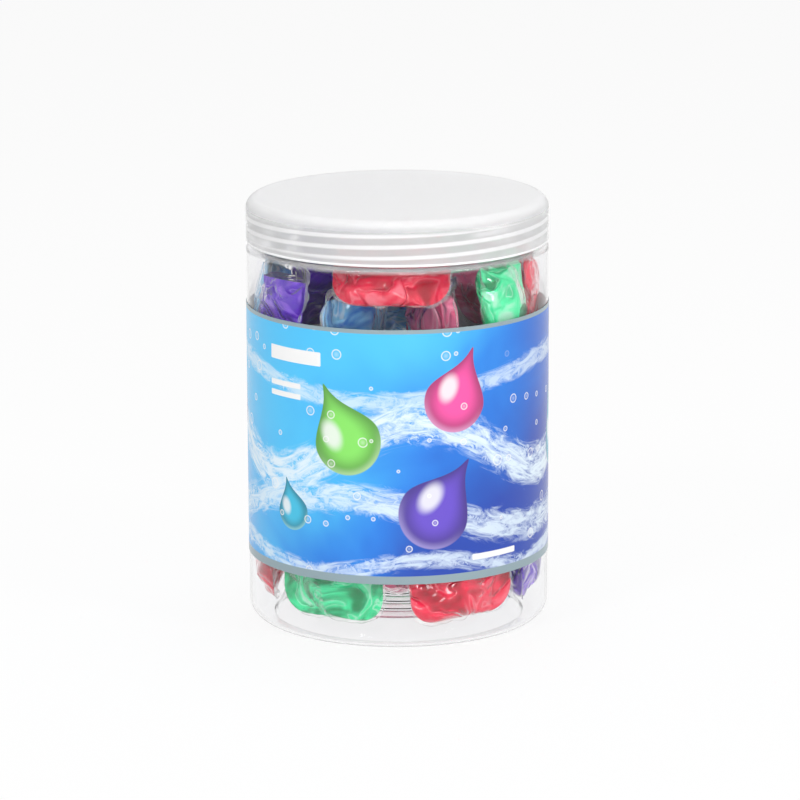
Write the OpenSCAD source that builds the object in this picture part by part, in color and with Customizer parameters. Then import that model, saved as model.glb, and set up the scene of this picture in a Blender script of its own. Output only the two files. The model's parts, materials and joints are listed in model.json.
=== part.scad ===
// Clear round tub of laundry pods with a low screw lid, a wrap label and a
// seal disc. Millimetres. The tub stands on z = 0, its axis is Z and its
// front is towards -Y.

/* [Tub] */
// Outside diameter of the tub and of its lid
tub_d = 100; // [80:0.5:130]
// Height of the closed tub, lid included
tub_h = 142; // [110:1:200]
// Thickness of the blown side wall
wall = 0.8; // [0.6:0.1:1.6]
// Outside radius of the heel between the side and the foot
heel_r = 5.6; // [3:0.2:8]
// Width of the flat ring that the tub stands on
foot_w = 3; // [2:0.2:5]
// Height of the push-up in the bottom
push_up = 7.2; // [4:0.2:10]
// Width of the sloping step between the foot and the push-up
push_slope = 4.4; // [3:0.2:8]
// Distance from one ring pressed into the base to the next
press_pitch = 9; // [7:0.5:12]
// Width of a pressed ring
press_w = 3; // [2:0.2:5]
// Depth of a pressed ring
press_d = 0.5; // [0.2:0.1:0.6]
// Radius of the shoulder below the neck
shoulder_r = 1.8; // [1:0.1:3]

/* [Neck] */
// Step from the tub's side in to the neck
neck_inset = 3.6; // [3.2:0.1:5]
// Thickness of the neck
neck_wall = 1.2; // [1:0.1:2]

/* [Lid] */
// Height of the lid
lid_h = 14.6; // [13:0.2:22]
// Thickness of the lid's top
lid_top = 1.5; // [1:0.1:2.5]
// Thickness of the lid's skirt
lid_wall = 1.3; // [1:0.1:1.8]
// Radius of the edge between the lid's top and its skirt
lid_edge_r = 3.8; // [2:0.1:5]
// Space between the lid's lower edge and the shoulder
lid_gap = 0.6; // [0.4:0.1:1.5]

/* [Thread] */
// Distance from one ridge of the thread to the next
thread_pitch = 3.6; // [3.2:0.1:5]
// Number of separate ridges that start around the neck
thread_starts = 2; // [1:1:3]
// Width of a ridge at its foot
thread_root = 1.7; // [1.2:0.1:2.2]
// Width of a ridge at its crest
thread_crest = 0.8; // [0.5:0.1:1.1]
// Space between a crest and the wall that it faces
thread_clear = 0.4; // [0.3:0.05:0.6]

/* [Seal] */
// Thickness of the seal disc in the lid
seal_t = 0.8; // [0.5:0.1:1.5]
// Space on either face of the seal disc
seal_gap = 0.15; // [0.1:0.05:0.3]
// Space around the seal disc
seal_rim = 0.3; // [0.2:0.1:0.6]

/* [Label] */
// Height of the label's lower edge
label_low = 22.5; // [16:0.5:30]
// Height of the label
label_h = 84.5; // [60:0.5:90]
// Thickness of the label film
label_t = 0.15; // [0.1:0.05:0.3]
// Space between the label and the tub's side
label_gap = 0.05; // [0.05:0.05:0.2]

/* [Pods] */
// Length of a pod over its film edge
pod_l = 40; // [34:0.5:44]
// Width of a pod over its film edge
pod_w = 27; // [24:0.5:32]
// Thickness of a filled pod
pod_t = 15; // [10:0.5:18]
// Thickness of the pod at the middle of its short side
pod_side_t = 7; // [4:0.5:9]
// Width of the flat film edge
film_w = 2.8; // [1.5:0.1:4]
// Thickness of the sealed film edge
film_t = 0.4; // [0.3:0.05:0.8]
// Corner radius of the film edge
film_r = 11; // [6:0.5:12]
// Space between a pod and what it lies against
pod_gap = 0.3; // [0.2:0.05:0.6]
// Largest roll of a pod that stands against the side, in degrees
pod_roll = 3; // [0:0.5:5]
// Largest lean of a pod that stands against the side, in degrees
pod_lean = 4; // [0:0.5:6]
// Lean of the tall pods under the neck, in degrees
stand_lean = 6; // [4:0.5:8]
// Direction of the tilted pod at the front, in degrees from the front
front_turn = -3; // [-45:1:45]
// Tilt of the front pod, in degrees from lying flat
front_tilt = 45; // [40:1:55]
// How far the front pod keeps in from the neck
front_in = 3.5; // [3:0.5:6]
// Angle between the tall pods on either side of the front pod, in degrees
front_open = 118; // [116:1:124]
// Angle between the two pods that stand end on under the front pod, in degrees
end_open = 54; // [50:1:58]
// How far behind the middle the two uppermost pods lie
top_back = 5; // [4:0.5:6]
// Turn from one layer of the inner stack to the next, in degrees
layer_turn = 86; // [0:1:90]
// Direction of the first pod of the lowest ring, in degrees from the front
first_turn = -31; // [-60:1:60]
// Turn from one ring to the next, in degrees
row_turn = 20; // [0:1:60]

/* [Hidden] */
$fn = 96;
pet = [0.86, 0.92, 0.94, 0.35];
frosted = [0.93, 0.94, 0.95, 0.55];
liner = [0.97, 0.97, 0.97];
print_blue = [0.3, 0.65, 0.9];
violet = [0.48, 0.3, 0.8];
blue = [0.15, 0.5, 0.9];
red = [0.85, 0.12, 0.2];
pink = [0.93, 0.4, 0.6];
green = [0.3, 0.75, 0.35];
ring_colours = [
    [green, red, violet, pink, blue, red],
    [violet, blue, green, red, pink, green],
    [red, pink, violet, green, violet, blue]
];
stack_colours = [pink, green, blue, red, violet, blue, green];
stand_colours = [green, red, pink, blue, violet, blue, violet];

tub_r = tub_d / 2;
seat_z = tub_h - lid_top;
rim_z = seat_z - seal_t - 2 * seal_gap;
lid_low = tub_h - lid_h;
shoulder_z = lid_low - lid_gap;
neck_r = tub_r - neck_inset;
bore_r = neck_r - neck_wall;
lid_bore_r = tub_r - lid_wall;
foot_out = tub_r - heel_r;
foot_in = foot_out - foot_w;
dome_r = foot_in - push_slope;

lead = thread_pitch * thread_starts;
ridge_h = lid_bore_r - neck_r - thread_clear;
bite = 0.3;
run_out = 30;
step_angle = 7.5;
neck_thread_low = shoulder_z + lid_gap + thread_root;
neck_thread_high = rim_z - thread_root;
lid_thread_low = lid_low + thread_root;
lid_thread_high = rim_z - thread_root / 2;

body_l = pod_l - 2 * film_w;
body_w = pod_w - 2 * film_w;
bulge_drop = (pod_t - pod_side_t) / 2;
bulge_r = ((body_l / 2) ^ 2 + bulge_drop ^ 2) / (2 * bulge_drop);
bulge_back = bulge_r - pod_t / 2;
corner_x = pod_l / 2 - film_r;

ring_r = tub_r - wall - pod_gap - pod_t / 2;
ring_count = floor(180 / atan((pod_l / 2 + pod_gap) / ring_r));
row_h = pod_w + 2 * corner_x * sin(pod_roll) + pod_gap;
edge_half_t = sqrt(bulge_r ^ 2 - (body_w / 2) ^ 2) - bulge_back;
edge_in_r = ring_r - edge_half_t - body_w / 2 * sin(pod_lean);
edge_over = film_w - edge_half_t * sin(pod_lean);
slope_share = (foot_in + wall / 2 - edge_in_r) / push_slope;
slope_z = push_up * max(0, min(1, slope_share));
row_low = wall + pod_gap + max(0, slope_z - edge_over);
stand_h = pod_l * cos(stand_lean) + 2 * pod_gap;
row_count = floor((rim_z - stand_h - row_low) / row_h);
row_top = row_low + row_count * row_h;

stack_r = ring_r - pod_t / 2 - pod_gap;
stack_low = push_up + wall + pod_gap;
stack_room = 2 * (sqrt((stack_r - film_r) ^ 2 - corner_x ^ 2) + film_r);
stack_sides = min(2, floor(stack_room / (pod_w + pod_gap)));
stack_out = (stack_sides - 1) / 2 * (pod_w + pod_gap);
layer_h = rise(2 * stack_out * sin(layer_turn / 2));
layer_count = floor((row_top - stack_low - pod_t) / layer_h) + 1;

stand_r = tub_r - wall - pod_gap - bulge_r + bulge_back * cos(stand_lean);
stand_room = 2 * atan((pod_w + pod_gap) / 2 / (stand_r - corner_x * sin(stand_lean)));
stand_count = floor((360 - front_open) / stand_room) + 1;
stand_pitch = (360 - front_open) / (stand_count - 1);
end_r = tub_r - wall - pod_gap - pod_l / 2;
end_top = row_top + pod_gap + pod_w;
end_half_t = sqrt(bulge_r ^ 2 - corner_x ^ 2) - bulge_back;
end_room = (end_r - corner_x) * sin(end_open / 2) - pod_gap / 2;
end_count = end_room > end_half_t ? 2 : 0;

back_y = (pod_w + pod_gap) / 2;
back_z = stack_pod(layer_count - 1, 0)[2] + rise(min([
    for (k = [0 : stack_sides - 1])
        let (p = stack_pod(layer_count - 1, k)) norm([p[0], p[1] - back_y])
]));
back_room = stand_r - pod_t / 2 - pod_l / 2 * sin(stand_lean) - pod_gap;
back_out = norm([corner_x, back_y + pod_w / 2 - film_r]) + film_r;
back_count = back_out < back_room
    ? round((end_top - back_z + pod_t / 2) / (pod_t + pod_gap)) : 0;
top_z = back_z + (back_count - 1) * (pod_t + pod_gap) + rise(norm([back_y, back_y - top_back]));

front_r = min(
    bore_r - pod_gap - pod_t / 2 * sin(front_tilt) - front_in,
    tub_r - wall - pod_gap - body_w / 2 * cos(front_tilt) - edge_half_t * sin(front_tilt)
);
front_ball = front_r + bulge_back * sin(front_tilt);
front_reach = film_r
    + sqrt((bulge_r + pod_gap + film_t) ^ 2 - (front_ball * sin(end_open / 2)) ^ 2);
front_z = end_top - film_r - bulge_back * cos(front_tilt)
    + sqrt(front_reach ^ 2 - (front_ball * cos(end_open / 2) - end_r - corner_x) ^ 2);

// Height from a lying pod to one that rests on it, their middles off apart in plan.
function rise(off) = sqrt((2 * bulge_r + pod_gap) ^ 2 - off ^ 2) - 2 * bulge_back;

// The place of a pod is [x, y, z, turn, lean, roll, colour].
function swing(i, k) = sin(137 * i + 71 * k + 20);
function ring_pod(row, i) =
    let (a = first_turn + row * row_turn + i * 360 / ring_count)
    [
        ring_r * sin(a), -ring_r * cos(a), row_low + (row + 0.5) * row_h, a,
        pod_lean * swing(i, row), pod_roll * swing(row, i),
        ring_colours[row % 3][i % 6]
    ];
function stand_pod(i) =
    let (a = front_turn + front_open / 2 + i * stand_pitch)
    [
        stand_r * sin(a), -stand_r * cos(a),
        row_top + pod_gap + pod_l / 2 * cos(stand_lean), a, stand_lean, 90,
        stand_colours[i % 7]
    ];
function end_pod(i) =
    let (a = front_turn + (i - 0.5) * end_open)
    [
        end_r * sin(a), -end_r * cos(a), end_top - pod_w / 2, a + 90, 0, 0,
        i == 0 ? blue : pink
    ];
function stack_pod(layer, side) =
    let (a = layer_turn * layer, d = (2 * side - 1) * stack_out)
    [
        -d * sin(a), d * cos(a), stack_low + pod_t / 2 + layer * layer_h, a, 90, 0,
        stack_colours[(2 * layer + side) % 7]
    ];
function back_pod(i) =
    [0, back_y, back_z + i * (pod_t + pod_gap), 0, 90, 0, i % 2 == 0 ? blue : violet];
function top_pod(i) =
    [(2 * i - 1) * back_y, top_back, top_z, 90, 90, 0, i == 0 ? violet : green];
front_pod = [
    front_r * sin(front_turn), -front_r * cos(front_turn), front_z,
    front_turn, 90 - front_tilt, 0, red
];

PODS = concat(
    [for (row = [0 : row_count - 1], i = [0 : ring_count - 1]) ring_pod(row, i)],
    [for (i = [0 : stand_count - 1]) stand_pod(i)],
    [for (i = [0 : 1 : end_count - 1]) end_pod(i)],
    [for (n = [0 : layer_count - 1], k = [0 : stack_sides - 1]) stack_pod(n, k)],
    [for (i = [0 : 1 : back_count - 1]) back_pod(i)],
    [for (i = [0 : 1 : min(back_count, 2) - 1]) top_pod(i)],
    [for (i = [0 : 1 : end_count / 2 - 1]) front_pod]
);
function pod_name(i) = str("pod_", i < 9 ? "0" : "", i + 1);

// Half of an upright section with a rounded lower and upper outside corner.
module rounded_half(r, low, high, low_r, high_r) {
    translate([0, low]) square([r - low_r, high - low]);
    translate([0, low]) square([r - high_r, high - low]);
    translate([0, low + low_r]) square([r, high - low - low_r - high_r]);
    translate([r - low_r, low + low_r]) circle(low_r, $fn = 40);
    translate([r - high_r, high - high_r]) circle(high_r, $fn = 40);
}

// The pushed-up base from the foot inwards, with its pressed rings.
function base_line(out, up) = concat(
    [[foot_in + out, up], [dome_r + out, push_up + up]],
    [
        for (r = [dome_r - press_pitch : -press_pitch : press_pitch / 2])
            each [
                [r + press_w / 2, push_up + up], [r + press_w / 4, push_up + up - press_d],
                [r - press_w / 4, push_up + up - press_d], [r - press_w / 2, push_up + up]
            ]
    ],
    [[-1, push_up + up]]
);

module jar_outline() {
    difference() {
        union() {
            rounded_half(tub_r, 0, shoulder_z, heel_r, shoulder_r);
            square([neck_r, rim_z]);
        }
        polygon(concat([[-1, -1], [foot_in, -1]], base_line(0, 0)));
    }
}

module jar_hollow() {
    difference() {
        union() {
            rounded_half(
                tub_r - wall, wall, shoulder_z - neck_wall,
                heel_r - wall, shoulder_r
            );
            translate([0, wall]) square([bore_r, tub_h]);
        }
        polygon(concat([[-1, 0], [foot_in + wall / 2, 0]], base_line(wall / 2, wall)));
    }
}

// Section of a ridge at one step: [radius, height] of its four corners.
function ridge_section(r, side, grow) =
    let (crest = r + side * (ridge_h * grow - bite * (1 - grow) / 2))
    [
        [r - side * bite, -thread_root / 2], [crest, -thread_crest / 2],
        [crest, thread_crest / 2], [r - side * bite, thread_root / 2]
    ];

// One ridge of the thread from low to high. side is 1 on the neck, -1 in the lid.
module ridge(r, side, low, high, start) {
    turn = (high - low) / lead * 360;
    steps = ceil(turn / step_angle);
    sections = [
        for (i = [0 : steps])
            let (
                a = turn * i / steps,
                grow = min(1, min(a, turn - a) / run_out),
                s = ridge_section(r, side, grow)
            )
            [for (p = s) [
                p[0] * cos(start + a), p[0] * sin(start + a),
                low + (high - low) * i / steps + p[1]
            ]]
    ];
    faces = concat(
        [side > 0 ? [3, 2, 1, 0] : [0, 1, 2, 3]],
        [
            for (i = [0 : steps - 1], j = [0 : 3])
                let (a = 4 * i + j, b = 4 * i + (j + 1) % 4)
                each side > 0
                    ? [[a, b, b + 4], [a, b + 4, a + 4]]
                    : [[a, a + 4, b + 4], [a, b + 4, b]]
        ],
        [[for (j = side > 0 ? [0 : 3] : [3 : -1 : 0]) 4 * steps + j]]
    );
    polyhedron(points = [for (s = sections) each s], faces = faces, convexity = 6);
}

// The ridges lie on one helix, so that the lid's run midway between the neck's.
module ridges(r, side, low, high, shift) {
    for (k = [0 : thread_starts - 1])
        ridge(r, side, low, high, (low - shift) / lead * 360 + k * 360 / thread_starts);
}

module jar() {
    color(pet) {
        rotate_extrude() difference() {
            jar_outline();
            jar_hollow();
        }
        ridges(neck_r, 1, neck_thread_low, neck_thread_high, shoulder_z);
    }
}

module label() {
    color(print_blue) translate([0, 0, label_low]) difference() {
        cylinder(r = tub_r + label_gap + label_t, h = label_h);
        translate([0, 0, -1]) cylinder(r = tub_r + label_gap, h = label_h + 2);
    }
}

module seal_disc() {
    color(liner) translate([0, 0, rim_z + seal_gap])
        cylinder(r = lid_bore_r - seal_rim, h = seal_t);
}

module lid() {
    color(frosted) {
        rotate_extrude() difference() {
            rounded_half(tub_r, lid_low, tub_h, 0.01, lid_edge_r);
            square([lid_bore_r, seat_z]);
        }
        ridges(lid_bore_r, -1, lid_thread_low, lid_thread_high, shoulder_z + thread_pitch / 2);
    }
}

// A flat plate with rounded corners, middle at the origin.
module plate(l, w, r, h) {
    translate([0, 0, -h / 2]) linear_extrude(h) {
        square([l - 2 * r, w], center = true);
        square([l, w - 2 * r], center = true);
        for (x = [-1, 1], y = [-1, 1])
            translate([x * (l / 2 - r), y * (w / 2 - r)]) circle(r, $fn = 48);
    }
}

// A filled pod on its back, its film edge in the plane z = 0.
module pod_shape() {
    intersection() {
        plate(body_l, body_w, film_r - film_w, pod_t);
        translate([0, 0, pod_t / 2 - bulge_r]) sphere(bulge_r);
        translate([0, 0, bulge_r - pod_t / 2]) sphere(bulge_r);
    }
    plate(pod_l, pod_w, film_r, film_t);
}

module pod(i) {
    p = PODS[i];
    color(p[6]) translate([p[0], p[1], p[2]]) rotate([0, 0, p[3]])
        rotate([90 - p[4], 0, 0]) rotate([0, 0, p[5]]) pod_shape();
}

jar();
label();
seal_disc();
lid();
for (i = [0 : len(PODS) - 1])
    pod(i);
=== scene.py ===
"""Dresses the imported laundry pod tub: clear tub, screw lid, printed wrap and gel pods."""

import json
import math
import random

import bmesh
import bpy
import numpy as np
from mathutils import Matrix, Vector


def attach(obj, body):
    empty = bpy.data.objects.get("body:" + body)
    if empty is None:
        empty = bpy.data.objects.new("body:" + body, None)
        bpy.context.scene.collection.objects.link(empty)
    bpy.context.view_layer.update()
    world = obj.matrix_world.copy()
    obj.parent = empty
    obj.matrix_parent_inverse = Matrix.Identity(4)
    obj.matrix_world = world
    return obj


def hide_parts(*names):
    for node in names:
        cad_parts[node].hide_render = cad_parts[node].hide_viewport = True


MM = 0.001

# Sizes in millimetres, as in the solids
TUB_R = 50.0
TUB_H = 142.0
WALL = 0.8
HEEL_R = 5.6
FOOT_OUT = 44.4
FOOT_IN = 41.4
DOME_R = 37.0
PUSH_UP = 7.2
PRESS_D = 0.5
SHOULDER_Z = 126.8
SHOULDER_R = 1.8
NECK_R = 46.4
BORE_R = 45.2
RIM_Z = 139.4
LID_LOW = 127.4
LID_BORE_R = 48.7
LID_TOP = 1.5
LID_EDGE_R = 3.8
THREAD_PITCH = 3.6
THREAD_STARTS = 2
THREAD_LEAD = THREAD_PITCH * THREAD_STARTS
THREAD_FADE = 30  # degrees in which a ridge rises from nothing
RIDGE_H = 1.9
RIDGE_ROOT = 1.7
RIDGE_CREST = 0.8
NECK_THREAD = (129.1, 137.7)
LID_THREAD = (129.1, 138.55)
LABEL_LOW = 22.5
LABEL_HIGH = 107.0
LABEL_IN = 50.05
LABEL_OUT = 50.2
SEAL_R = 48.4
SEAL_LOW = 139.55
SEAL_T = 0.8
SEAL_EDGE = 0.2

# Roundings and rings of the turned skins, in millimetres
AROUND = 256
AXIS_R = 0.05  # turned discs stop here, just short of the axis
NECK_FILLET = 0.5
RIM_ROUND = 0.4
LIP_ROUND = 0.3
SEAT_ROUND = 1.0
WALL_RINGS = (8.0, 60.0)
THREAD_STEP = 0.16
PRESS_RADII = (28.0, 19.0, 10.0)
# One pressed ring of the bottom: from its middle line, share of its depth
PRESS_SHAPE = (
    (1.7, 0), (1.3, 0.1), (0.7, 0.9), (0, 1), (-0.7, 0.9), (-1.3, 0.1), (-1.7, 0)
)
# The push-up's side: out from DOME_R, share of the lift, and down from there
PUSH_SIDE = ((3.2, 0.2, 0), (1.0, 0.82, 0), (0, 1, 0.25), (-1.0, 1, 0.05), (-1.6, 1, 0))

# Pods in millimetres: half length, half width and half thickness of the liquid
POD_HALF = (18.9, 12.4, 7.5)
FILM_HALF = (20.0, 13.5)
FILM_CORNER = 11.0
FILM_T = 0.3
DOME_T = 0.12
CREASES = 16
CREASE_DEEP = 1.9
FACETS = 9
FOLDS = 4
FOLD_DEEP = 1.7
LEAST_HIGH = 0.12
FLAT_KEPT = 0.12  # share of the bulge that stays above a pulled flat
# Film edge: waves round the pod and their size, for its outline and its height
RAGGED = ((3, 0.35), (7, 0.25), (13, 0.18), (23, 0.1))
WAVY = ((2, 1.0), (5, 0.6), (9, 0.45), (17, 0.25))
# Share of a pod's height that is air, where it shows, and the range elsewhere
BUBBLES = {"pod_25": 0.3, "pod_01": 0.2, "pod_02": 0.24, "pod_26": 0.1, "pod_21": 0.2}
BUBBLE_RANGE = (0.03, 0.08)

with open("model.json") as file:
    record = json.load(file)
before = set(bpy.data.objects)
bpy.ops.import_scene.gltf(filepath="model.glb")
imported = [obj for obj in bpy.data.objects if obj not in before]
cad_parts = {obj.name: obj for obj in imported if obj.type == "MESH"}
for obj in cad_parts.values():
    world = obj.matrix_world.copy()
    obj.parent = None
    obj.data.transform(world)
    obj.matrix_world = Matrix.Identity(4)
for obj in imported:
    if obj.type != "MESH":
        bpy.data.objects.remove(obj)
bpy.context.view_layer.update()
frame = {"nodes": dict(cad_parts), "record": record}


# Meshes
def mesh_object(name, verts, faces, materials, body, sharp=35.0, indices=None):
    """An object that rides a body of the frame, or none, with its material slot."""
    mesh = bpy.data.meshes.new(name)
    mesh.from_pydata([tuple(v) for v in verts], [], [tuple(f) for f in faces])
    mesh.validate()
    mesh.update()
    for m in materials:
        mesh.materials.append(m)
    if indices is not None:
        mesh.polygons.foreach_set("material_index", indices)
    mesh.polygons.foreach_set("use_smooth", [True] * len(mesh.polygons))
    if sharp:
        mesh.set_sharp_from_angle(angle=math.radians(sharp))
    obj = bpy.data.objects.new(name, mesh)
    bpy.context.scene.collection.objects.link(obj)
    if body:
        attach(obj, body)
    return obj


def arc(cx, cz, r, start, end, steps=10):
    """Points of an arc in an upright section, angles from the outward direction."""
    return [
        (cx + r * math.cos(math.radians(a)), cz + r * math.sin(math.radians(a)))
        for a in np.linspace(start, end, steps)
    ]


def lathe(section, around=AROUND, bump=None):
    """Vertices in metres and faces of a closed section turned round Z."""
    section = np.array(section, float)
    turn = np.linspace(0, 2 * math.pi, around, endpoint=False)
    r = np.repeat(section[:, 0][:, None], around, 1)
    z = np.repeat(section[:, 1][:, None], around, 1)
    t = np.repeat(turn[None, :], len(section), 0)
    if bump is not None:
        r = r + bump(r, z, t)
    verts = np.stack([r * np.cos(t), r * np.sin(t), z], -1).reshape(-1, 3) * MM
    faces = []
    rows = len(section)
    for i in range(rows):
        j = (i + 1) % rows
        for k in range(around):
            n = (k + 1) % around
            faces.append((i * around + k, i * around + n, j * around + n, j * around + k))
    return verts, faces


def ridge_height(z, t, low, high, shift):
    """Share of the thread's full height at a height and a turn."""
    out = np.zeros_like(z)
    span = (high - low) / THREAD_LEAD * 360
    deg = np.degrees(t)
    for k in range(THREAD_STARTS):
        start = (low - shift) / THREAD_LEAD * 360 + k * 360 / THREAD_STARTS
        base = (deg - start) % 360
        for extra in (0, 360, 720):
            along = base + extra
            inside = along <= span
            dz = np.abs(z - (low + THREAD_LEAD * along / 360))
            half_root, half_crest = RIDGE_ROOT / 2, RIDGE_CREST / 2
            s = np.clip((half_root - dz) / (half_root - half_crest), 0, 1)
            s = s * s * (3 - 2 * s)
            fade = np.clip(np.minimum(along, span - along) / THREAD_FADE, 0, 1)
            out = np.maximum(out, np.where(inside, s * fade, 0))
    return out


def fine(low, high, step):
    """Heights from low to high, evenly spaced at about step."""
    return np.linspace(low, high, max(2, int(abs(high - low) / step)))


def jar_section():
    """The jar's wall: up the outside, over the rim, down the inside and the bottom."""
    low_ring, middle_ring = WALL_RINGS
    out = [(FOOT_IN, 0), (FOOT_IN + 0.15, 0), (FOOT_OUT, 0)]
    out += arc(FOOT_OUT, HEEL_R, HEEL_R, -90, 0, 14)[1:]
    out += [(TUB_R, low_ring), (TUB_R, middle_ring), (TUB_R, SHOULDER_Z - SHOULDER_R - 0.4)]
    out += arc(TUB_R - SHOULDER_R, SHOULDER_Z - SHOULDER_R, SHOULDER_R, 0, 90, 8)
    out += arc(NECK_R + NECK_FILLET, SHOULDER_Z + NECK_FILLET, NECK_FILLET, -90, -180, 5)
    out += [(NECK_R, z) for z in fine(SHOULDER_Z + 0.7, RIM_Z - 0.6, THREAD_STEP)]
    out += arc(NECK_R - RIM_ROUND, RIM_Z - RIM_ROUND, RIM_ROUND, 0, 90, 4)
    out += arc(BORE_R + RIM_ROUND, RIM_Z - RIM_ROUND, RIM_ROUND, 90, 180, 4)
    inner_top = SHOULDER_Z - NECK_R + BORE_R
    out += [(BORE_R, RIM_Z - 2), (BORE_R, inner_top + 0.8)]
    out += arc(BORE_R + NECK_FILLET, inner_top + NECK_FILLET, NECK_FILLET, 180, 270, 4)
    out += arc(TUB_R - WALL - SHOULDER_R, inner_top - SHOULDER_R, SHOULDER_R, 90, 0, 8)
    out += [(TUB_R - WALL, middle_ring), (TUB_R - WALL, low_ring)]
    out += arc(FOOT_OUT, HEEL_R, HEEL_R - WALL, 0, -90, 14)
    out += base_section(True)
    out += base_section(False)[::-1]
    return out


def base_section(inside):
    """The push-up from the foot to near the axis, with its stepped rings."""
    lift = WALL if inside else 0
    shift = WALL / 2 if inside else 0
    out = [(FOOT_IN + shift, lift)] if inside else []
    out += [
        (DOME_R + shift + dr, PUSH_UP * share - down + lift)
        for dr, share, down in PUSH_SIDE
    ]
    for r in PRESS_RADII:
        out += [
            (r + shift + dr, PUSH_UP + lift - PRESS_D * share)
            for dr, share in PRESS_SHAPE
        ]
    out += [(4.0, PUSH_UP + lift), (AXIS_R, PUSH_UP + lift)]
    return out


def neck_bump(r, z, t):
    """How far the thread stands out of the neck."""
    on_neck = np.abs(r - NECK_R) < 0.01
    h = ridge_height(z, t, *NECK_THREAD, SHOULDER_Z)
    return np.where(on_neck, h * RIDGE_H, 0)


def lid_section():
    """The lid's wall: up the outside, over the top, and down the bore."""
    seat = TUB_H - LID_TOP
    out = [(LID_BORE_R + LIP_ROUND, LID_LOW), (TUB_R - LIP_ROUND, LID_LOW)]
    out += arc(TUB_R - LIP_ROUND, LID_LOW + LIP_ROUND, LIP_ROUND, -90, 0, 4)[1:]
    out += [(TUB_R, LID_LOW + 1), (TUB_R, TUB_H - LID_EDGE_R - 0.3)]
    out += arc(TUB_R - LID_EDGE_R, TUB_H - LID_EDGE_R, LID_EDGE_R, 0, 90, 16)
    out += [(TUB_R - LID_EDGE_R - 0.5, TUB_H), (30, TUB_H), (AXIS_R, TUB_H)]
    out += [(AXIS_R, seat), (30, seat), (LID_BORE_R - 1.2, seat)]
    out += arc(LID_BORE_R - SEAT_ROUND, seat - SEAT_ROUND, SEAT_ROUND, 90, 0, 6)
    out += [(LID_BORE_R, z) for z in fine(seat - 1.2, LID_LOW + 0.5, THREAD_STEP)]
    return out


def lid_bump(r, z, t):
    """How far the thread stands into the lid's bore."""
    on_bore = np.abs(r - LID_BORE_R) < 0.01
    h = ridge_height(z, t, *LID_THREAD, SHOULDER_Z + THREAD_PITCH / 2)
    return np.where(on_bore, -h * RIDGE_H, 0)


# Materials
def material(name, **values):
    """A Principled material, with inputs given by name and _ for a space."""
    mat = bpy.data.materials.new(name)
    mat.use_nodes = True
    bsdf = mat.node_tree.nodes["Principled BSDF"]
    for key, value in values.items():
        socket = bsdf.inputs[key.replace("_", " ")]
        socket.default_value = (*value, 1) if isinstance(value, tuple) else value
    return mat


def srgb(r, g, b):
    """A colour written as it shows on screen, from 0 to 255, as linear light."""
    def linear(c):
        c /= 255
        return c / 12.92 if c <= 0.04045 else ((c + 0.055) / 1.055) ** 2.4
    return (linear(r), linear(g), linear(b))


class Graph:
    """Short names for building a shader out of math nodes."""

    def __init__(self, mat):
        self.tree = mat.node_tree
        self.links = self.tree.links

    def node(self, kind, **settings):
        """A new node with its settings."""
        n = self.tree.nodes.new(kind)
        for key, value in settings.items():
            setattr(n, key, value)
        return n

    def put(self, socket, value):
        """Gives an input a number, a colour or another node's output."""
        if isinstance(value, (int, float)):
            socket.default_value = value
        elif isinstance(value, tuple):
            size = len(socket.default_value)
            socket.default_value = (*value, 1)[:size]
        else:
            self.links.new(value, socket)

    def math(self, operation, a, b=0.0, c=0.0):
        """The result of a Math node."""
        n = self.node("ShaderNodeMath", operation=operation)
        for socket, value in zip(n.inputs, (a, b, c)):
            self.put(socket, value)
        return n.outputs[0]

    def step(self, value, start, end):
        """0 at start and 1 at end, smooth between."""
        n = self.node("ShaderNodeMapRange", interpolation_type="SMOOTHSTEP")
        self.put(n.inputs["Value"], value)
        self.put(n.inputs["From Min"], start)
        self.put(n.inputs["From Max"], end)
        return n.outputs["Result"]

    def mix(self, share, a, b):
        """Colour a at share 0 and colour b at share 1."""
        n = self.node("ShaderNodeMix", data_type="RGBA")
        self.put(n.inputs["Factor"], share)
        self.put(n.inputs[6], a)
        self.put(n.inputs[7], b)
        return n.outputs[2]

    def vector(self, x, y, z=0.0):
        """One vector from three numbers."""
        n = self.node("ShaderNodeCombineXYZ")
        for socket, value in zip(n.inputs, (x, y, z)):
            self.put(socket, value)
        return n.outputs[0]

    def noise(self, vector, scale, detail=3.0, rough=0.5, warp=0.0):
        """A cloudy field, about 0.5 on average."""
        n = self.node("ShaderNodeTexNoise")
        self.put(n.inputs["Vector"], vector)
        self.put(n.inputs["Scale"], scale)
        self.put(n.inputs["Detail"], detail)
        self.put(n.inputs["Roughness"], rough)
        self.put(n.inputs["Distortion"], warp)
        return n.outputs["Fac"]

    def place(self):
        """Place on the object in millimetres."""
        split = self.node("ShaderNodeSeparateXYZ")
        self.put(split.inputs[0], self.node("ShaderNodeTexCoord").outputs["Object"])
        return [self.math("MULTIPLY", axis, 1 / MM) for axis in split.outputs]

    def surface(self, socket, value):
        """Sets or drives an input of the material's shader."""
        shader = self.tree.nodes["Principled BSDF"]
        self.put(shader.inputs[socket], value)

    def bump(self, height, deep, sockets=("Normal",)):
        """Raises the surface by a field of 0 to 1, deep in metres at 1."""
        n = self.node("ShaderNodeBump")
        self.put(n.inputs["Distance"], deep)
        self.put(n.inputs["Height"], height)
        for socket in sockets:
            self.surface(socket, n.outputs[0])


def clear_pet():
    """Clear blown plastic, a little milky where the shoulder turns."""
    mat = material("clear tub plastic", Base_Color=(0.96, 0.96, 0.966), Roughness=0.015, IOR=1.22)
    g = Graph(mat)
    v = g.place()[2]
    corner = g.math(
        "MULTIPLY", g.step(v, SHOULDER_Z - 2.4, SHOULDER_Z - 1.0),
        g.step(v, SHOULDER_Z + 1.6, SHOULDER_Z + 0.6)
    )
    g.surface("Transmission Weight", g.math("MULTIPLY_ADD", corner, -0.2, 1.0))
    return mat


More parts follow.
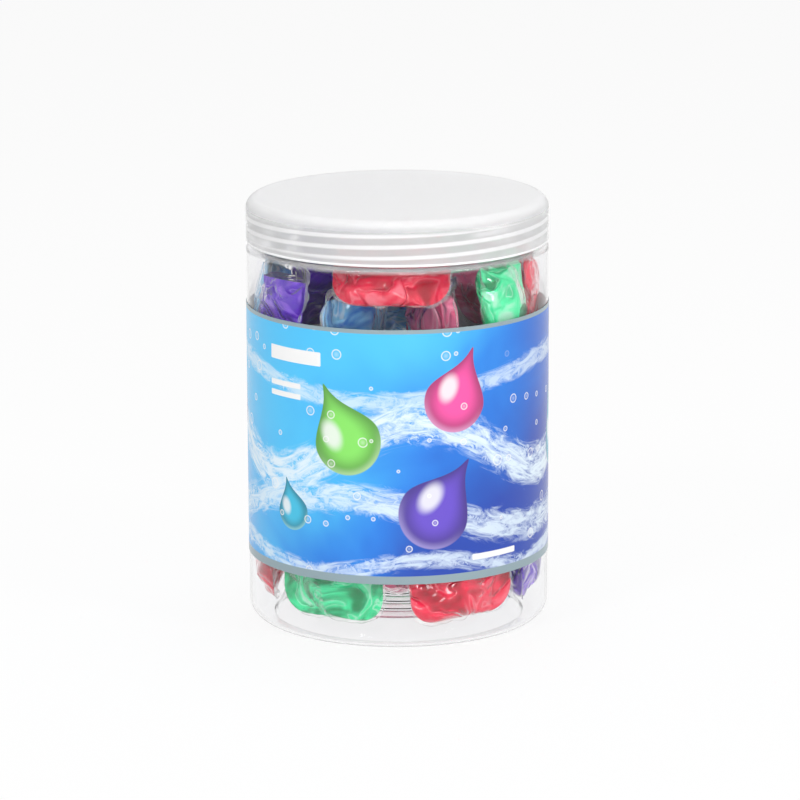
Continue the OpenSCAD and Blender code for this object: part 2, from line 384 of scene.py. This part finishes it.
# Lid: heights where the milky thread bands come and go, how much of the light
# the skirt lets through, and how white band, top and lip are beside it
BAND_LOW = (128.8, 130.2)
BAND_HIGH = (138.8, 137.4)
SKIRT_CLEAR = 0.62
BAND_WHITE = 0.6
TOP_WHITE = 0.32
LIP_WHITE = 0.8


def frosted_lid():
    """Milky plastic: see-through in the skirt, whiter in the thread, the top and the lip."""
    mat = material("frosted lid", Base_Color=(0.985, 0.985, 0.99), Roughness=0.05, IOR=1.2)
    g = Graph(mat)
    x, y, v = g.place()
    turn = g.math("MULTIPLY", g.math("ARCTAN2", y, x), THREAD_STARTS / (2 * math.pi))
    above = g.math("SUBTRACT", v, SHOULDER_Z + THREAD_PITCH / 2)
    rise = g.math("MULTIPLY", above, 1 / THREAD_PITCH)
    phase = g.math("FRACT", g.math("ADD", g.math("SUBTRACT", rise, turn), 0.5))
    off = g.math("ABSOLUTE", g.math("SUBTRACT", phase, 0.5))
    band = g.step(off, 0.27, 0.1)
    zone = g.math("MULTIPLY", g.step(v, *BAND_LOW), g.step(v, *BAND_HIGH))
    band = g.math("MULTIPLY", band, zone)
    top = g.step(v, TUB_H - LID_EDGE_R - 1.5, TUB_H - 0.2)
    lip = g.step(v, LID_LOW + 1.0, LID_LOW + 0.7)
    white = g.math(
        "MAXIMUM", g.math("MULTIPLY", band, BAND_WHITE), g.math("MULTIPLY", top, TOP_WHITE)
    )
    white = g.math("MAXIMUM", white, g.math("MULTIPLY", lip, LIP_WHITE))
    g.surface("Transmission Weight", g.math("MULTIPLY_ADD", white, -SKIRT_CLEAR, SKIRT_CLEAR))
    g.surface("Roughness", g.math("MULTIPLY_ADD", top, 0.5, 0.1))
    return mat


def seal_liner():
    """Thin foam disc that closes the tub under the lid."""
    return material(
        "seal liner", Base_Color=(0.985, 0.985, 0.985), Roughness=0.6, IOR=1.15,
        Transmission_Weight=0.7
    )


# Colours of the liquids: deep (painted shade), middle, and light (painted caustic light)
GELS = {
    "pod_violet": (srgb(50, 0, 138), srgb(90, 10, 200), srgb(168, 110, 252)),
    "pod_blue": (srgb(45, 120, 222), srgb(140, 212, 255), srgb(242, 251, 255)),
    "pod_red": (srgb(172, 0, 34), srgb(246, 28, 72), srgb(255, 145, 160)),
    "pod_pink": (srgb(232, 58, 118), srgb(255, 132, 172), srgb(255, 222, 234)),
    "pod_green": (srgb(4, 142, 84), srgb(66, 246, 170), srgb(220, 255, 240)),
}


# Patches of painted caustic light and painted shade, and folds of the liquid's skin: noise cells
# a millimetre, depth in metres
GEL_CELLS = 0.07
FOLD_RELIEF = 0.0006


def gel(slot, colours):
    """Coloured liquid in a tight wrinkled film, with patches of painted caustic light and painted
    shade and painted highlights along its folds.
    """
    mat = material(
        slot + " gel", Roughness=0.03, IOR=1.34, Transmission_Weight=0.42,
        Coat_Weight=1.0, Coat_Roughness=0.02
    )
    g = Graph(mat)
    spot = g.vector(*g.place())
    deep, middle, light = colours
    # Painted caustic light and painted shade: drifting noise patches darken to the deep colour
    # and lighten to the light one
    painted_light_cloud = g.noise(spot, GEL_CELLS, 2.0, 0.5, 1.4)
    colour = g.mix(g.step(painted_light_cloud, 0.32, 0.52), deep, middle)
    colour = g.mix(g.math("MULTIPLY", g.step(painted_light_cloud, 0.54, 0.68), 0.65), colour, light)
    fold = g.noise(spot, GEL_CELLS, 1.5, 0.45, 1.2)
    fold = g.math("ABSOLUTE", g.math("SUBTRACT", fold, 0.5))
    # Painted highlight: thin lines along the folds are lightened toward the light colour
    painted_glint = g.step(fold, 0.012, 0.002)
    g.surface("Base Color", g.mix(g.math("MULTIPLY", painted_glint, 0.45), colour, light))
    g.bump(g.step(fold, 0.0, 0.09), FOLD_RELIEF, ("Normal", "Coat Normal"))
    return mat


def pod_film():
    """The film's free edge round a pod."""
    return material(
        "clear pod film", Base_Color=(1.0, 1.0, 1.0), Roughness=0.08, IOR=1.15,
        Transmission_Weight=0.9
    )


def dome_film():
    """The film over the air in a pod, clearer than the crumpled edge."""
    return material(
        "clear film over a bubble", Base_Color=(0.98, 0.98, 0.985), Roughness=0.03, IOR=1.15,
        Transmission_Weight=1.0
    )


SKY = srgb(75, 195, 248)
AZURE = srgb(30, 125, 225)
DEEP = srgb(28, 68, 172)
PALE = srgb(228, 243, 252)
SILVER = srgb(143, 163, 170)
WHITE = (0.9, 0.9, 0.9)
# Ground: where it is deepest round the tub, its middle height, and how much the
# way round, each millimetre of height and the drifting clouds count
GROUND_TURN = 12.0
GROUND_HIGH = 70.0
GROUND_SHARES = (0.75, -0.013, 1.3)
# Grey edges below and above
EDGE_LOW = 2.7
EDGE_HIGH = 1.35

# Waves: middle height, swing, turns round the tub, start, width, strength
WAVES = [
    (66.0, 10.0, 3, 20.0, 17.0, 0.95),
    (44.0, 7.0, 2, 60.0, 13.0, 0.85),
    (88.0, 5.0, 2, -30.0, 8.0, 0.7),
    (28.0, 2.5, 4, 10.0, 7.0, 0.8),
]
# Drops: along, height, radius, lean in degrees, colour
DROPS = [
    (-17.0, 70.0, 11.5, 24.0, srgb(135, 225, 100)),
    (19.0, 83.0, 10.5, -20.0, srgb(245, 85, 165)),
    (12.0, 46.0, 12.0, -34.0, srgb(105, 78, 200)),
    (-38.0, 44.0, 6.5, 14.0, srgb(60, 190, 225)),
    (78.0, 62.0, 11.0, 22.0, srgb(60, 190, 225)),
    (-84.0, 72.0, 11.0, -18.0, srgb(105, 78, 200)),
    (104.0, 80.0, 7.5, -24.0, srgb(135, 225, 100)),
    (-110.0, 50.0, 8.5, 26.0, srgb(245, 85, 165)),
]
# Pale bars in place of words: along, height, half length, half height
BARS = [
    (-37.0, 96.0, 11.0, 2.3),
    (-41.0, 86.0, 7.0, 0.9),
    (-41.0, 82.5, 7.0, 0.9),
    (34.0, 30.0, 9.0, 1.0),
]
BAR_CORNER = 0.4
# Panel at the back: height, half width and half height, rounding of its corners
PANEL = (66.0, 27.0, 31.0)
PANEL_CORNER = 3.0
# Half lengths of the panel's lines from the top, their half height and distances
LINES = [16.0, 21.0, 19.0, 21.0, 12.0, 21.0, 20.0, 17.0]
LINE_HALF = 0.9
LINE_FIRST = 8.0
LINE_PITCH = 6.6
# Bubbles: cells a millimetre, and the place from the front where they end
BUBBLE_CELLS = 0.11
BUBBLES_END = 152.0


def label_print():
    """The label's front: ground, foam, drops, bubbles, bars, back panel, grey edges."""
    mat = material("label print", Roughness=0.25, IOR=1.5)
    g = Graph(mat)
    x, y, v = g.place()
    u = g.math("MULTIPLY", g.math("ARCTAN2", x, g.math("MULTIPLY", y, -1.0)), TUB_R)
    colour = label_ground(g, x, y, v, u)
    for seed, wave in enumerate(WAVES):
        colour = label_wave(g, x, y, v, u, colour, wave, 40.0 * seed)
    for drop in DROPS:
        colour = label_drop(g, u, v, colour, drop)
    colour = label_bubbles(g, u, v, colour)
    for bar in BARS:
        colour = g.mix(label_block(g, u, v, *bar, BAR_CORNER), colour, WHITE)
    colour = label_panel(g, u, v, colour)
    edge = g.math(
        "MAXIMUM", g.step(v, LABEL_LOW + EDGE_LOW + 0.05, LABEL_LOW + EDGE_LOW - 0.05),
        g.step(v, LABEL_HIGH - EDGE_HIGH - 0.05, LABEL_HIGH - EDGE_HIGH + 0.05)
    )
    g.surface("Base Color", g.mix(edge, colour, SILVER))
    return mat


def label_ground(g, x, y, v, u):
    """Sky blue at the upper left, deep blue at the right and low down."""
    drift = g.noise(g.vector(x, y, v), 0.022, 3.0, 0.5, 0.6)
    by_turn, by_height, by_cloud = GROUND_SHARES
    turned = g.math("MULTIPLY", g.math("SUBTRACT", u, GROUND_TURN), 1 / TUB_R)
    across = g.math(
        "ADD", g.math("MULTIPLY", g.math("SINE", turned), by_turn),
        g.math("MULTIPLY", g.math("SUBTRACT", v, GROUND_HIGH), by_height)
    )
    level = g.math("ADD", across, g.math("MULTIPLY", g.math("SUBTRACT", drift, 0.5), by_cloud))
    colour = g.mix(g.step(level, -0.75, 0.2), SKY, AZURE)
    return g.mix(g.step(level, -0.05, 0.75), colour, DEEP)


def label_wave(g, x, y, v, u, colour, wave, seed):
    """A streak of foam that runs round the label in a sine line."""
    middle, swing, turns, start, width, strength = wave
    angle = g.math("MULTIPLY", g.math("ADD", u, start), turns / TUB_R)
    off = g.math("SUBTRACT", v, g.math("MULTIPLY_ADD", g.math("SINE", angle), swing, middle))
    along = g.vector(
        g.math("MULTIPLY", x, 0.3), g.math("MULTIPLY", y, 0.3), g.math("ADD", off, seed)
    )
    ripple = g.noise(along, 0.3, 5.0, 0.65, 1.2)
    spray = g.noise(g.vector(x, y, g.math("ADD", v, seed)), 0.4, 6.0, 0.7, 0.8)
    share = g.step(g.math("ABSOLUTE", off), width, width * 0.1)
    body = g.step(g.math("MULTIPLY", ripple, share), 0.3, 0.6)
    foam = g.step(g.math("MULTIPLY", spray, share), 0.44, 0.58)
    both = g.math("MAXIMUM", body, g.math("MULTIPLY", foam, 0.8))
    return g.mix(g.math("MULTIPLY", both, strength), colour, PALE)


def label_drop(g, u, v, colour, drop):
    """A round drop with a drawn-out tip, shaded at its edge and with one gleam."""
    along, high, radius, lean, paint = drop
    c, s = math.cos(math.radians(lean)), math.sin(math.radians(lean))
    du, dv = g.math("SUBTRACT", u, along), g.math("SUBTRACT", v, high)
    px = g.math("ADD", g.math("MULTIPLY", du, c / radius), g.math("MULTIPLY", dv, s / radius))
    py = g.math("ADD", g.math("MULTIPLY", du, -s / radius), g.math("MULTIPLY", dv, c / radius))
    taper = g.math("MULTIPLY_ADD", g.step(py, 0.0, 1.7), -0.85, 1.0)
    tall = g.math("MULTIPLY", py, g.math("MULTIPLY_ADD", g.step(py, -0.1, 0.3), -0.42, 1.0))
    far = label_length(g, g.math("DIVIDE", px, taper), tall)
    shade = g.mix(g.step(far, 0.35, 1.0), paint, tuple(0.45 * p for p in paint))
    shine = label_length(
        g, g.math("MULTIPLY", g.math("ADD", px, 0.35), 2.6),
        g.math("MULTIPLY", g.math("SUBTRACT", py, 0.3), 1.7)
    )
    shade = g.mix(g.math("MULTIPLY", g.step(shine, 1.0, 0.4), 0.8), shade, WHITE)
    glow = g.math("MULTIPLY", g.step(far, 0.75, 1.0), g.step(py, 0.2, -1.0))
    shade = g.mix(g.math("MULTIPLY", glow, 0.5), shade, tuple(min(0.9, 0.4 + p) for p in paint))
    return g.mix(g.step(far, 1.02, 0.98), colour, shade)


def label_length(g, a, b):
    """Length of the vector a, b."""
    return g.math("SQRT", g.math("ADD", g.math("MULTIPLY", a, a), g.math("MULTIPLY", b, b)))


def label_block(g, u, v, along, high, half_u, half_v, corner):
    """1 inside a rectangle with rounded corners."""
    du = g.math("SUBTRACT", g.math("ABSOLUTE", g.math("SUBTRACT", u, along)), half_u - corner)
    dv = g.math("SUBTRACT", g.math("ABSOLUTE", g.math("SUBTRACT", v, high)), half_v - corner)
    far = label_length(g, g.math("MAXIMUM", du, 0.0), g.math("MAXIMUM", dv, 0.0))
    return g.step(far, corner + 0.12, corner - 0.12)


def label_bubbles(g, u, v, colour):
    """Small rings with a pale core, one in some cells of a Voronoi pattern."""
    cells = g.node("ShaderNodeTexVoronoi", feature="F1", voronoi_dimensions="2D")
    g.put(cells.inputs["Vector"], g.vector(u, v))
    g.put(cells.inputs["Scale"], BUBBLE_CELLS)
    g.put(cells.inputs["Randomness"], 0.9)
    far = g.math("MULTIPLY", cells.outputs["Distance"], 9.0)
    pick = g.node("ShaderNodeSeparateColor")
    g.put(pick.inputs[0], cells.outputs["Color"])
    size = g.math("MULTIPLY_ADD", pick.outputs[0], 1.3, 0.4)
    there = g.math(
        "MULTIPLY", g.step(pick.outputs[1], 0.62, 0.64),
        g.step(g.math("ABSOLUTE", u), BUBBLES_END, BUBBLES_END - 2.0)
    )
    ring = g.step(g.math("ABSOLUTE", g.math("SUBTRACT", far, size)), 0.3, 0.08)
    core = g.math("MULTIPLY", g.step(far, size, 0.0), 0.4)
    both = g.math("MULTIPLY", g.math("MAXIMUM", ring, core), there)
    return g.mix(g.math("MULTIPLY", both, 0.7), colour, WHITE)


def label_panel(g, u, v, colour):
    """White panel with plain blue lines, the same to both sides of the back."""
    from_back = g.math("SUBTRACT", math.pi * TUB_R, g.math("ABSOLUTE", u))
    high, half_u, half_v = PANEL
    block = label_block(g, from_back, v, 0.0, high, half_u, half_v, PANEL_CORNER)
    colour = g.mix(block, colour, WHITE)
    for i, half in enumerate(LINES):
        at = high + half_v - LINE_FIRST - i * LINE_PITCH
        line = label_block(g, from_back, v, 0.0, at, half, LINE_HALF, BAR_CORNER)
        colour = g.mix(line, colour, AZURE)
    return colour


# Pods
def outline(turn, half_x, half_y, corner):
    """Distance from the middle to a rounded rectangle's edge, in each direction."""
    c, s = np.abs(np.cos(turn)), np.abs(np.sin(turn))
    flat_x, flat_y = half_x - corner, half_y - corner
    side = half_x / np.maximum(c, 1e-9)
    out = np.where(side * s <= flat_y, side, 0)
    side = half_y / np.maximum(s, 1e-9)
    out = np.where((out == 0) & (side * c <= flat_x), side, out)
    dot = flat_x * c + flat_y * s
    bend = dot + np.sqrt(np.maximum(dot ** 2 - flat_x ** 2 - flat_y ** 2 + corner ** 2, 0))
    return np.where(out == 0, bend, out)


def waves(rng, x, y, count, low, high):
    """A smooth field from a few seeded waves, about from -1 to 1."""
    out, total = np.zeros_like(x), 0
    for _ in range(count):
        a, f = rng.uniform(0, 2 * math.pi), rng.uniform(low, high)
        out += np.sin(f * (x * math.cos(a) + y * math.sin(a)) + rng.uniform(0, 6.28)) / f
        total += 1 / f
    return out / total


def creases(rng, turn, share):
    """Depth of the puckers that run in from the sealed edge."""
    out = np.zeros_like(share)
    for _ in range(CREASES):
        a, width = rng.uniform(0, 2 * math.pi), rng.uniform(0.05, 0.16)
        reach, bend = rng.uniform(0.35, 0.75), rng.uniform(-0.5, 0.5)
        off = (turn - a - bend * (1 - share) + math.pi) % (2 * math.pi) - math.pi
        fade = np.clip((share - reach) / (1 - reach), 0, 1)
        out += np.exp(-(off / width) ** 2) * fade * rng.uniform(0.3, 1.0)
    return out


def facets(rng, x, y, high):
    """The face's height, cut by slanting flats as where film is pulled straight."""
    for _ in range(FACETS):
        a = rng.uniform(0, 2 * math.pi)
        slope, top = rng.uniform(0.12, 0.6), rng.uniform(0.86, 1.1)
        flat = POD_HALF[2] * top - slope * (x * math.cos(a) + y * math.sin(a))
        gap = high - flat
        high = np.where(gap > 0, flat + gap * FLAT_KEPT, high)
    return high


def crumple(rng, x, y):
    """Depth of the small folds that gather at one end of the film."""
    end = rng.choice((-1, 1))
    mask = np.clip((end * x / POD_HALF[0] - 0.05) / 0.7, 0, 1)
    deep = np.zeros_like(x)
    for _ in range(FOLDS):
        a, f = rng.uniform(-0.9, 0.9), rng.uniform(0.5, 0.95)
        deep += 1 - np.abs(np.sin(f * (y * math.cos(a) + x * math.sin(a)) + rng.uniform(0, 6.28)))
    return mask * deep / FOLDS * FOLD_DEEP


def pod_face(rng, side, turn, share):
    """Heights of one face of a pod over a grid of directions and shares of the outline."""
    rim = outline(turn, POD_HALF[0], POD_HALF[1], FILM_CORNER - 2.2)
    x, y = rim * share * np.cos(turn), rim * share * np.sin(turn)
    arch = np.maximum(1 - share ** 3.4, 0) ** 0.72
    high = POD_HALF[2] * arch
    high = facets(rng, x, y, high)
    high = high * (0.95 + 0.07 * waves(rng, x, y, 6, 0.12, 0.5))
    high = high - creases(rng, turn, share) * CREASE_DEEP * np.minimum(arch * 1.5, 1)
    high = high - crumple(rng, x, y) * np.minimum(arch * 1.6, 1)
    high = np.clip(high, LEAST_HIGH, POD_HALF[2] - 0.02)
    high = np.where(share > 0.999, 0, high)
    return x, y, side * high


def pod_body(rng, spokes=80, rings=20):
    """A pod's closed skin from two faces that meet at the sealed edge."""
    turn = np.linspace(0, 2 * math.pi, spokes, endpoint=False)[None, :]
    share = np.sin(np.linspace(0, math.pi / 2, rings + 1))[1:, None]
    verts, faces = [], []
    for side in (1, -1):
        x, y, z = pod_face(rng, side, turn + 0 * share, share + 0 * turn)
        base = len(verts)
        verts.append((0.0, 0.0, float(z[0].mean())))
        verts += list(zip(x.ravel(), y.ravel(), z.ravel()))
        for k in range(spokes):
            n = (k + 1) % spokes
            tri = (base, base + 1 + k, base + 1 + n)
            faces.append(tri if side > 0 else tri[::-1])
            for i in range(rings - 1):
                a, b = base + 1 + i * spokes, base + 1 + (i + 1) * spokes
                quad = (a + k, b + k, b + n, a + n)
                faces.append(quad if side > 0 else quad[::-1])
    return weld(verts, faces)


def weld(verts, faces):
    """Joins vertices that lie at the same place."""
    keep, seen, out = {}, [], []
    for v in verts:
        key = tuple(round(float(c), 5) for c in v)
        if key not in keep:
            keep[key] = len(out)
            out.append(v)
        seen.append(keep[key])
    return out, [tuple(seen[i] for i in f) for f in faces]


def pod_skirt(rng, spokes=112, rings=5):
    """The sealed film edge: a thin wavy ring, closed on both faces."""
    turn = np.linspace(0, 2 * math.pi, spokes, endpoint=False)
    inner = outline(turn, POD_HALF[0] - 0.6, POD_HALF[1] - 0.6, FILM_CORNER - 3.4)
    outer = outline(turn, FILM_HALF[0], FILM_HALF[1], FILM_CORNER - 3.0)
    ragged = sum(
        np.sin(n * turn + rng.uniform(0, 6.28)) * a
        for n, a in RAGGED
    )
    outer = outer - 0.75 + np.clip(ragged, -0.7, 0.7)
    wave = sum(
        np.sin(n * turn + rng.uniform(0, 6.28)) * a
        for n, a in WAVY
    )
    verts, faces = [], []
    for side in (1, -1):
        for i in range(rings):
            s = i / (rings - 1)
            r = inner + (outer - inner) * s
            z = wave * s ** 1.3 + side * FILM_T / 2
            verts += [
                (r[k] * math.cos(turn[k]), r[k] * math.sin(turn[k]), z[k])
                for k in range(spokes)
            ]
    half = rings * spokes
    for k in range(spokes):
        n = (k + 1) % spokes
        for i in range(rings - 1):
            a, b = i * spokes, (i + 1) * spokes
            faces.append((a + k, b + k, b + n, a + n))
            faces.append((half + a + n, half + b + n, half + b + k, half + a + k))
        edge = (rings - 1) * spokes
        faces.append((edge + k, half + edge + k, half + edge + n, edge + n))
        faces.append((n, half + n, half + k, k))
    return verts, faces


def node_axes(obj):
    """Middle and axes, longest first, of a solid from its skin."""
    mesh = obj.data
    mesh.calc_loop_triangles()
    co = np.array([v.co[:] for v in mesh.vertices])
    tri = np.array([t.vertices[:] for t in mesh.loop_triangles])
    p = co[tri]
    area = np.linalg.norm(np.cross(p[:, 1] - p[:, 0], p[:, 2] - p[:, 0]), axis=1)
    mid = (p.mean(1) * area[:, None]).sum(0) / area.sum()
    q = p - mid
    second = np.einsum("ijk,ijl,i->kl", q, q, area)
    summed = q.sum(1)
    second = second + np.einsum("ik,il,i->kl", summed, summed, area)
    vectors = np.linalg.eigh(second)[1]
    longest, wide = vectors[:, 2], vectors[:, 1]
    if longest[np.argmax(np.abs(longest))] < 0:
        longest = -longest
    thick = np.cross(longest, wide)
    outward = mid * (1, 1, 0) if abs(thick[2]) < 0.7 else np.array((0, 0, 1))
    if thick @ outward < 0:
        thick, wide = -thick, -wide
    return mid, np.stack([longest, wide, thick], 1)


def part_lists(bm, mark):
    """Vertices, faces and material numbers of a bmesh."""
    bm.verts.index_update()
    faces = [tuple(v.index for v in f.verts) for f in bm.faces]
    return [v.co[:] for v in bm.verts], faces, [mark] * len(faces)


def joined(parts):
    """One list each of vertices, faces and material numbers from several parts."""
    verts, faces, marks = [], [], []
    for part_verts, part_faces, part_marks in parts:
        start = len(verts)
        verts += [tuple(v) for v in part_verts]
        faces += [tuple(i + start for i in f) for f in part_faces]
        marks += part_marks
    return verts, faces, marks


def keep_side(bm, level, above):
    """Cuts a mesh at a level plane, keeps one side and returns the cut's edges."""
    geom = bm.verts[:] + bm.edges[:] + bm.faces[:]
    cut = bmesh.ops.bisect_plane(
        bm, geom=geom, plane_co=(0, 0, level), plane_no=(0, 0, 1),
        clear_inner=above, clear_outer=not above
    )
    return [e for e in cut["geom_cut"] if isinstance(e, bmesh.types.BMEdge)]


def film_shell(bm, thick):
    """Thickens an open skin inwards to a closed thin film."""
    bm.normal_update()
    verts, faces, _ = part_lists(bm, 0)
    inner = [tuple(v.co - v.normal * thick) for v in bm.verts]
    count = len(verts)
    back = [tuple(i + count for i in f[::-1]) for f in faces]
    rim = []
    for e in bm.edges:
        if e.is_boundary:
            loop = e.link_loops[0]
            a, b = loop.vert.index, loop.link_loop_next.vert.index
            rim.append((b, a, a + count, b + count))
    return verts + inner, faces + back + rim


def liquid_and_dome(verts, faces, room):
    """The liquid up to its level surface, and the film over the air above it."""
    mesh = bpy.data.meshes.new("pod")
    mesh.from_pydata([tuple(v) for v in verts], [], faces)
    liquid, dome = bmesh.new(), bmesh.new()
    liquid.from_mesh(mesh)
    dome.from_mesh(mesh)
    bpy.data.meshes.remove(mesh)
    heights = [v.co.z for v in liquid.verts]
    level = max(heights) - room * (max(heights) - min(heights))
    caps = bmesh.ops.holes_fill(liquid, edges=keep_side(liquid, level, False), sides=0)
    bmesh.ops.triangulate(liquid, faces=caps["faces"])
    bmesh.ops.recalc_face_normals(liquid, faces=liquid.faces)
    keep_side(dome, level + 0.02 * MM, True)
    shell, skin = film_shell(dome, DOME_T * MM)
    parts = part_lists(liquid, 0), (shell, skin, [2] * len(skin))
    liquid.free()
    dome.free()
    return parts


def dress_pods(frame):
    """Puts a wrinkled pod of liquid and film in the place of each pod's solid."""
    gels = {name: gel(name, colour) for name, colour in GELS.items()}
    film, dome = pod_film(), dome_film()
    slots = {s["node"]: s["material_slot"] for s in frame["record"]["subparts"]}
    for node in sorted(n for n in frame["nodes"] if n.startswith("pod_")):
        rng = random.Random(int(node[4:]) * 17 + 5)
        mid, axes = node_axes(frame["nodes"][node])
        body_v, body_f = pod_body(rng)
        skirt_v, skirt_f = pod_skirt(rng)
        body_v = np.array(body_v) * MM @ axes.T + mid
        skirt_v = np.array(skirt_v) * MM @ axes.T + mid
        room = BUBBLES.get(node, rng.uniform(*BUBBLE_RANGE))
        liquid, bubble = liquid_and_dome(body_v, body_f, room)
        verts, faces, marks = joined([liquid, bubble, (skirt_v, skirt_f, [1] * len(skirt_f))])
        obj = mesh_object(
            node + "_filled", verts, faces, [gels[slots[node]], film, dome], "tub",
            sharp=55, indices=marks
        )
        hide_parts(node)


def dress_tub():
    """Jar, lid, label and seal disc, turned from their sections."""
    verts, faces = lathe(jar_section(), bump=neck_bump)
    jar = mesh_object("tub_shell", verts, faces, [clear_pet()], "tub")
    jar.visible_shadow = False  # clear plastic: lamps light the pods through it
    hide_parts("jar")
    verts, faces = lathe(lid_section(), bump=lid_bump)
    lid = mesh_object("screw_lid", verts, faces, [frosted_lid()], "cover")
    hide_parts("lid")
    ring = [
        (LABEL_IN, LABEL_LOW), (LABEL_OUT, LABEL_LOW),
        (LABEL_OUT, LABEL_HIGH), (LABEL_IN, LABEL_HIGH)
    ]
    verts, faces = lathe(ring)
    inner = [int(i >= 3 * AROUND) for i in range(len(faces))]
    paints = [label_print(), material("white back of the label", Base_Color=(0.93, 0.93, 0.94))]
    wrap = mesh_object("label_wrap", verts, faces, paints, "tub", indices=inner)
    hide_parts("label")
    disc = [
        (AXIS_R, SEAL_LOW), (SEAL_R - SEAL_EDGE, SEAL_LOW), (SEAL_R, SEAL_LOW + SEAL_EDGE),
        (SEAL_R, SEAL_LOW + SEAL_T - SEAL_EDGE), (SEAL_R - SEAL_EDGE, SEAL_LOW + SEAL_T),
        (AXIS_R, SEAL_LOW + SEAL_T)
    ]
    verts, faces = lathe(disc)
    seal = mesh_object("seal_liner", verts, faces, [seal_liner()], "seal")
    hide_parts("seal_disc")


# Camera, light and floor
CAMERA = (0.0, -1.4, 0.399)
AIM = (0.0007, 0.0, 0.0724)
ROLL = -0.0038
SENSOR = 36
LENS = 4311 / 800 * SENSOR
# Levels of the white surroundings: as light, and as seen
SKY_LIGHT = 0.5
SKY_SEEN = 1.0
FLOOR_SEEN = 0.9
FLOOR_PAINT = (0.9, 0.9, 0.9, 1)
FLOOR_HALF = 4.0
FLOOR_LOW = -0.0005
# Lamps: name, place, size and power
LAMPS = [
    ("key", (-0.55, -0.75, 0.8), 0.2, 3.0),
    ("fill", (0.8, -0.6, 0.55), 0.2, 2.5),
    ("top", (0.1, 0.2, 1.2), 0.6, 4.3),
    ("front", (0.35, -1.9, 0.42), 0.6, 9.5),
]
LAMP_AIM = (0, 0, 0.07)


def add_camera():
    """The photograph's camera, from the fit of the lid's and the foot's ellipses."""
    data = bpy.data.cameras.new("photo camera")
    data.sensor_width = SENSOR
    data.lens = LENS
    cam = bpy.data.objects.new("photo camera", data)
    bpy.context.scene.collection.objects.link(cam)
    forward = (Vector(AIM) - Vector(CAMERA)).normalized()
    right = forward.cross(Vector((0, 0, 1))).normalized()
    up = right.cross(forward)
    tilted = right * math.cos(ROLL) + up * math.sin(ROLL)
    risen = up * math.cos(ROLL) - right * math.sin(ROLL)
    turn = Matrix((tilted, risen, -forward)).transposed()
    cam.matrix_world = Matrix.Translation(CAMERA) @ turn.to_4x4()
    data.clip_start = 0.05
    data.clip_end = 50
    bpy.context.scene.camera = cam


def seen_ray(tree):
    """1 for the rays that show the backdrop: straight, mirrored or through glass."""
    path = tree.nodes.new("ShaderNodeLightPath")
    first = tree.nodes.new("ShaderNodeMath")
    first.operation = "MAXIMUM"
    tree.links.new(path.outputs["Is Camera Ray"], first.inputs[0])
    tree.links.new(path.outputs["Is Transmission Ray"], first.inputs[1])
    second = tree.nodes.new("ShaderNodeMath")
    second.operation = "MAXIMUM"
    tree.links.new(first.outputs[0], second.inputs[0])
    tree.links.new(path.outputs["Is Glossy Ray"], second.inputs[1])
    return second.outputs[0]


def add_world():
    """An even white room, brighter where it is seen than where it lights."""
    world = bpy.data.worlds.new("studio")
    bpy.context.scene.world = world
    world.use_nodes = True
    tree = world.node_tree
    lit = tree.nodes["Background"]
    lit.inputs["Color"].default_value = (1, 1, 1, 1)
    lit.inputs["Strength"].default_value = SKY_LIGHT
    seen = tree.nodes.new("ShaderNodeBackground")
    seen.inputs["Color"].default_value = (1, 1, 1, 1)
    seen.inputs["Strength"].default_value = SKY_SEEN
    mix = tree.nodes.new("ShaderNodeMixShader")
    tree.links.new(seen_ray(tree), mix.inputs[0])
    tree.links.new(lit.outputs[0], mix.inputs[1])
    tree.links.new(seen.outputs[0], mix.inputs[2])
    tree.links.new(mix.outputs[0], tree.nodes["World Output"].inputs["Surface"])


def add_floor():
    """A pale matt floor, nearly white where it is seen, that keeps the shadow."""
    mat = bpy.data.materials.new("pale floor")
    mat.use_nodes = True
    tree = mat.node_tree
    paint = tree.nodes["Principled BSDF"]
    paint.inputs["Base Color"].default_value = FLOOR_PAINT
    paint.inputs["Roughness"].default_value = 0.9
    paint.inputs["Specular IOR Level"].default_value = 0.0
    light = tree.nodes.new("ShaderNodeEmission")
    light.inputs["Strength"].default_value = 1.0
    share = tree.nodes.new("ShaderNodeMath")
    share.operation = "MULTIPLY"
    share.inputs[1].default_value = FLOOR_SEEN
    tree.links.new(seen_ray(tree), share.inputs[0])
    mix = tree.nodes.new("ShaderNodeMixShader")
    tree.links.new(share.outputs[0], mix.inputs[0])
    tree.links.new(paint.outputs[0], mix.inputs[1])
    tree.links.new(light.outputs[0], mix.inputs[2])
    tree.links.new(mix.outputs[0], tree.nodes["Material Output"].inputs["Surface"])
    half, low = FLOOR_HALF, FLOOR_LOW
    verts = [(-half, -half, low), (half, -half, low), (half, half, low), (-half, half, low)]
    floor = mesh_object("floor", verts, [(0, 1, 2, 3)], [mat], None, sharp=0)


def add_lamp(name, place, size, power):
    """A square lamp that looks at the middle of the tub."""
    data = bpy.data.lights.new(name, "AREA")
    data.size = size
    data.energy = power
    lamp = bpy.data.objects.new(name, data)
    bpy.context.scene.collection.objects.link(lamp)
    lamp.location = place
    lamp.rotation_mode = "QUATERNION"
    lamp.rotation_quaternion = (Vector(LAMP_AIM) - Vector(place)).to_track_quat("-Z", "Y")


dress_tub()
dress_pods(frame)
add_world()
add_floor()
for lamp in LAMPS:
    add_lamp(*lamp)
add_camera()
bpy.context.scene.view_settings.view_transform = "Standard"
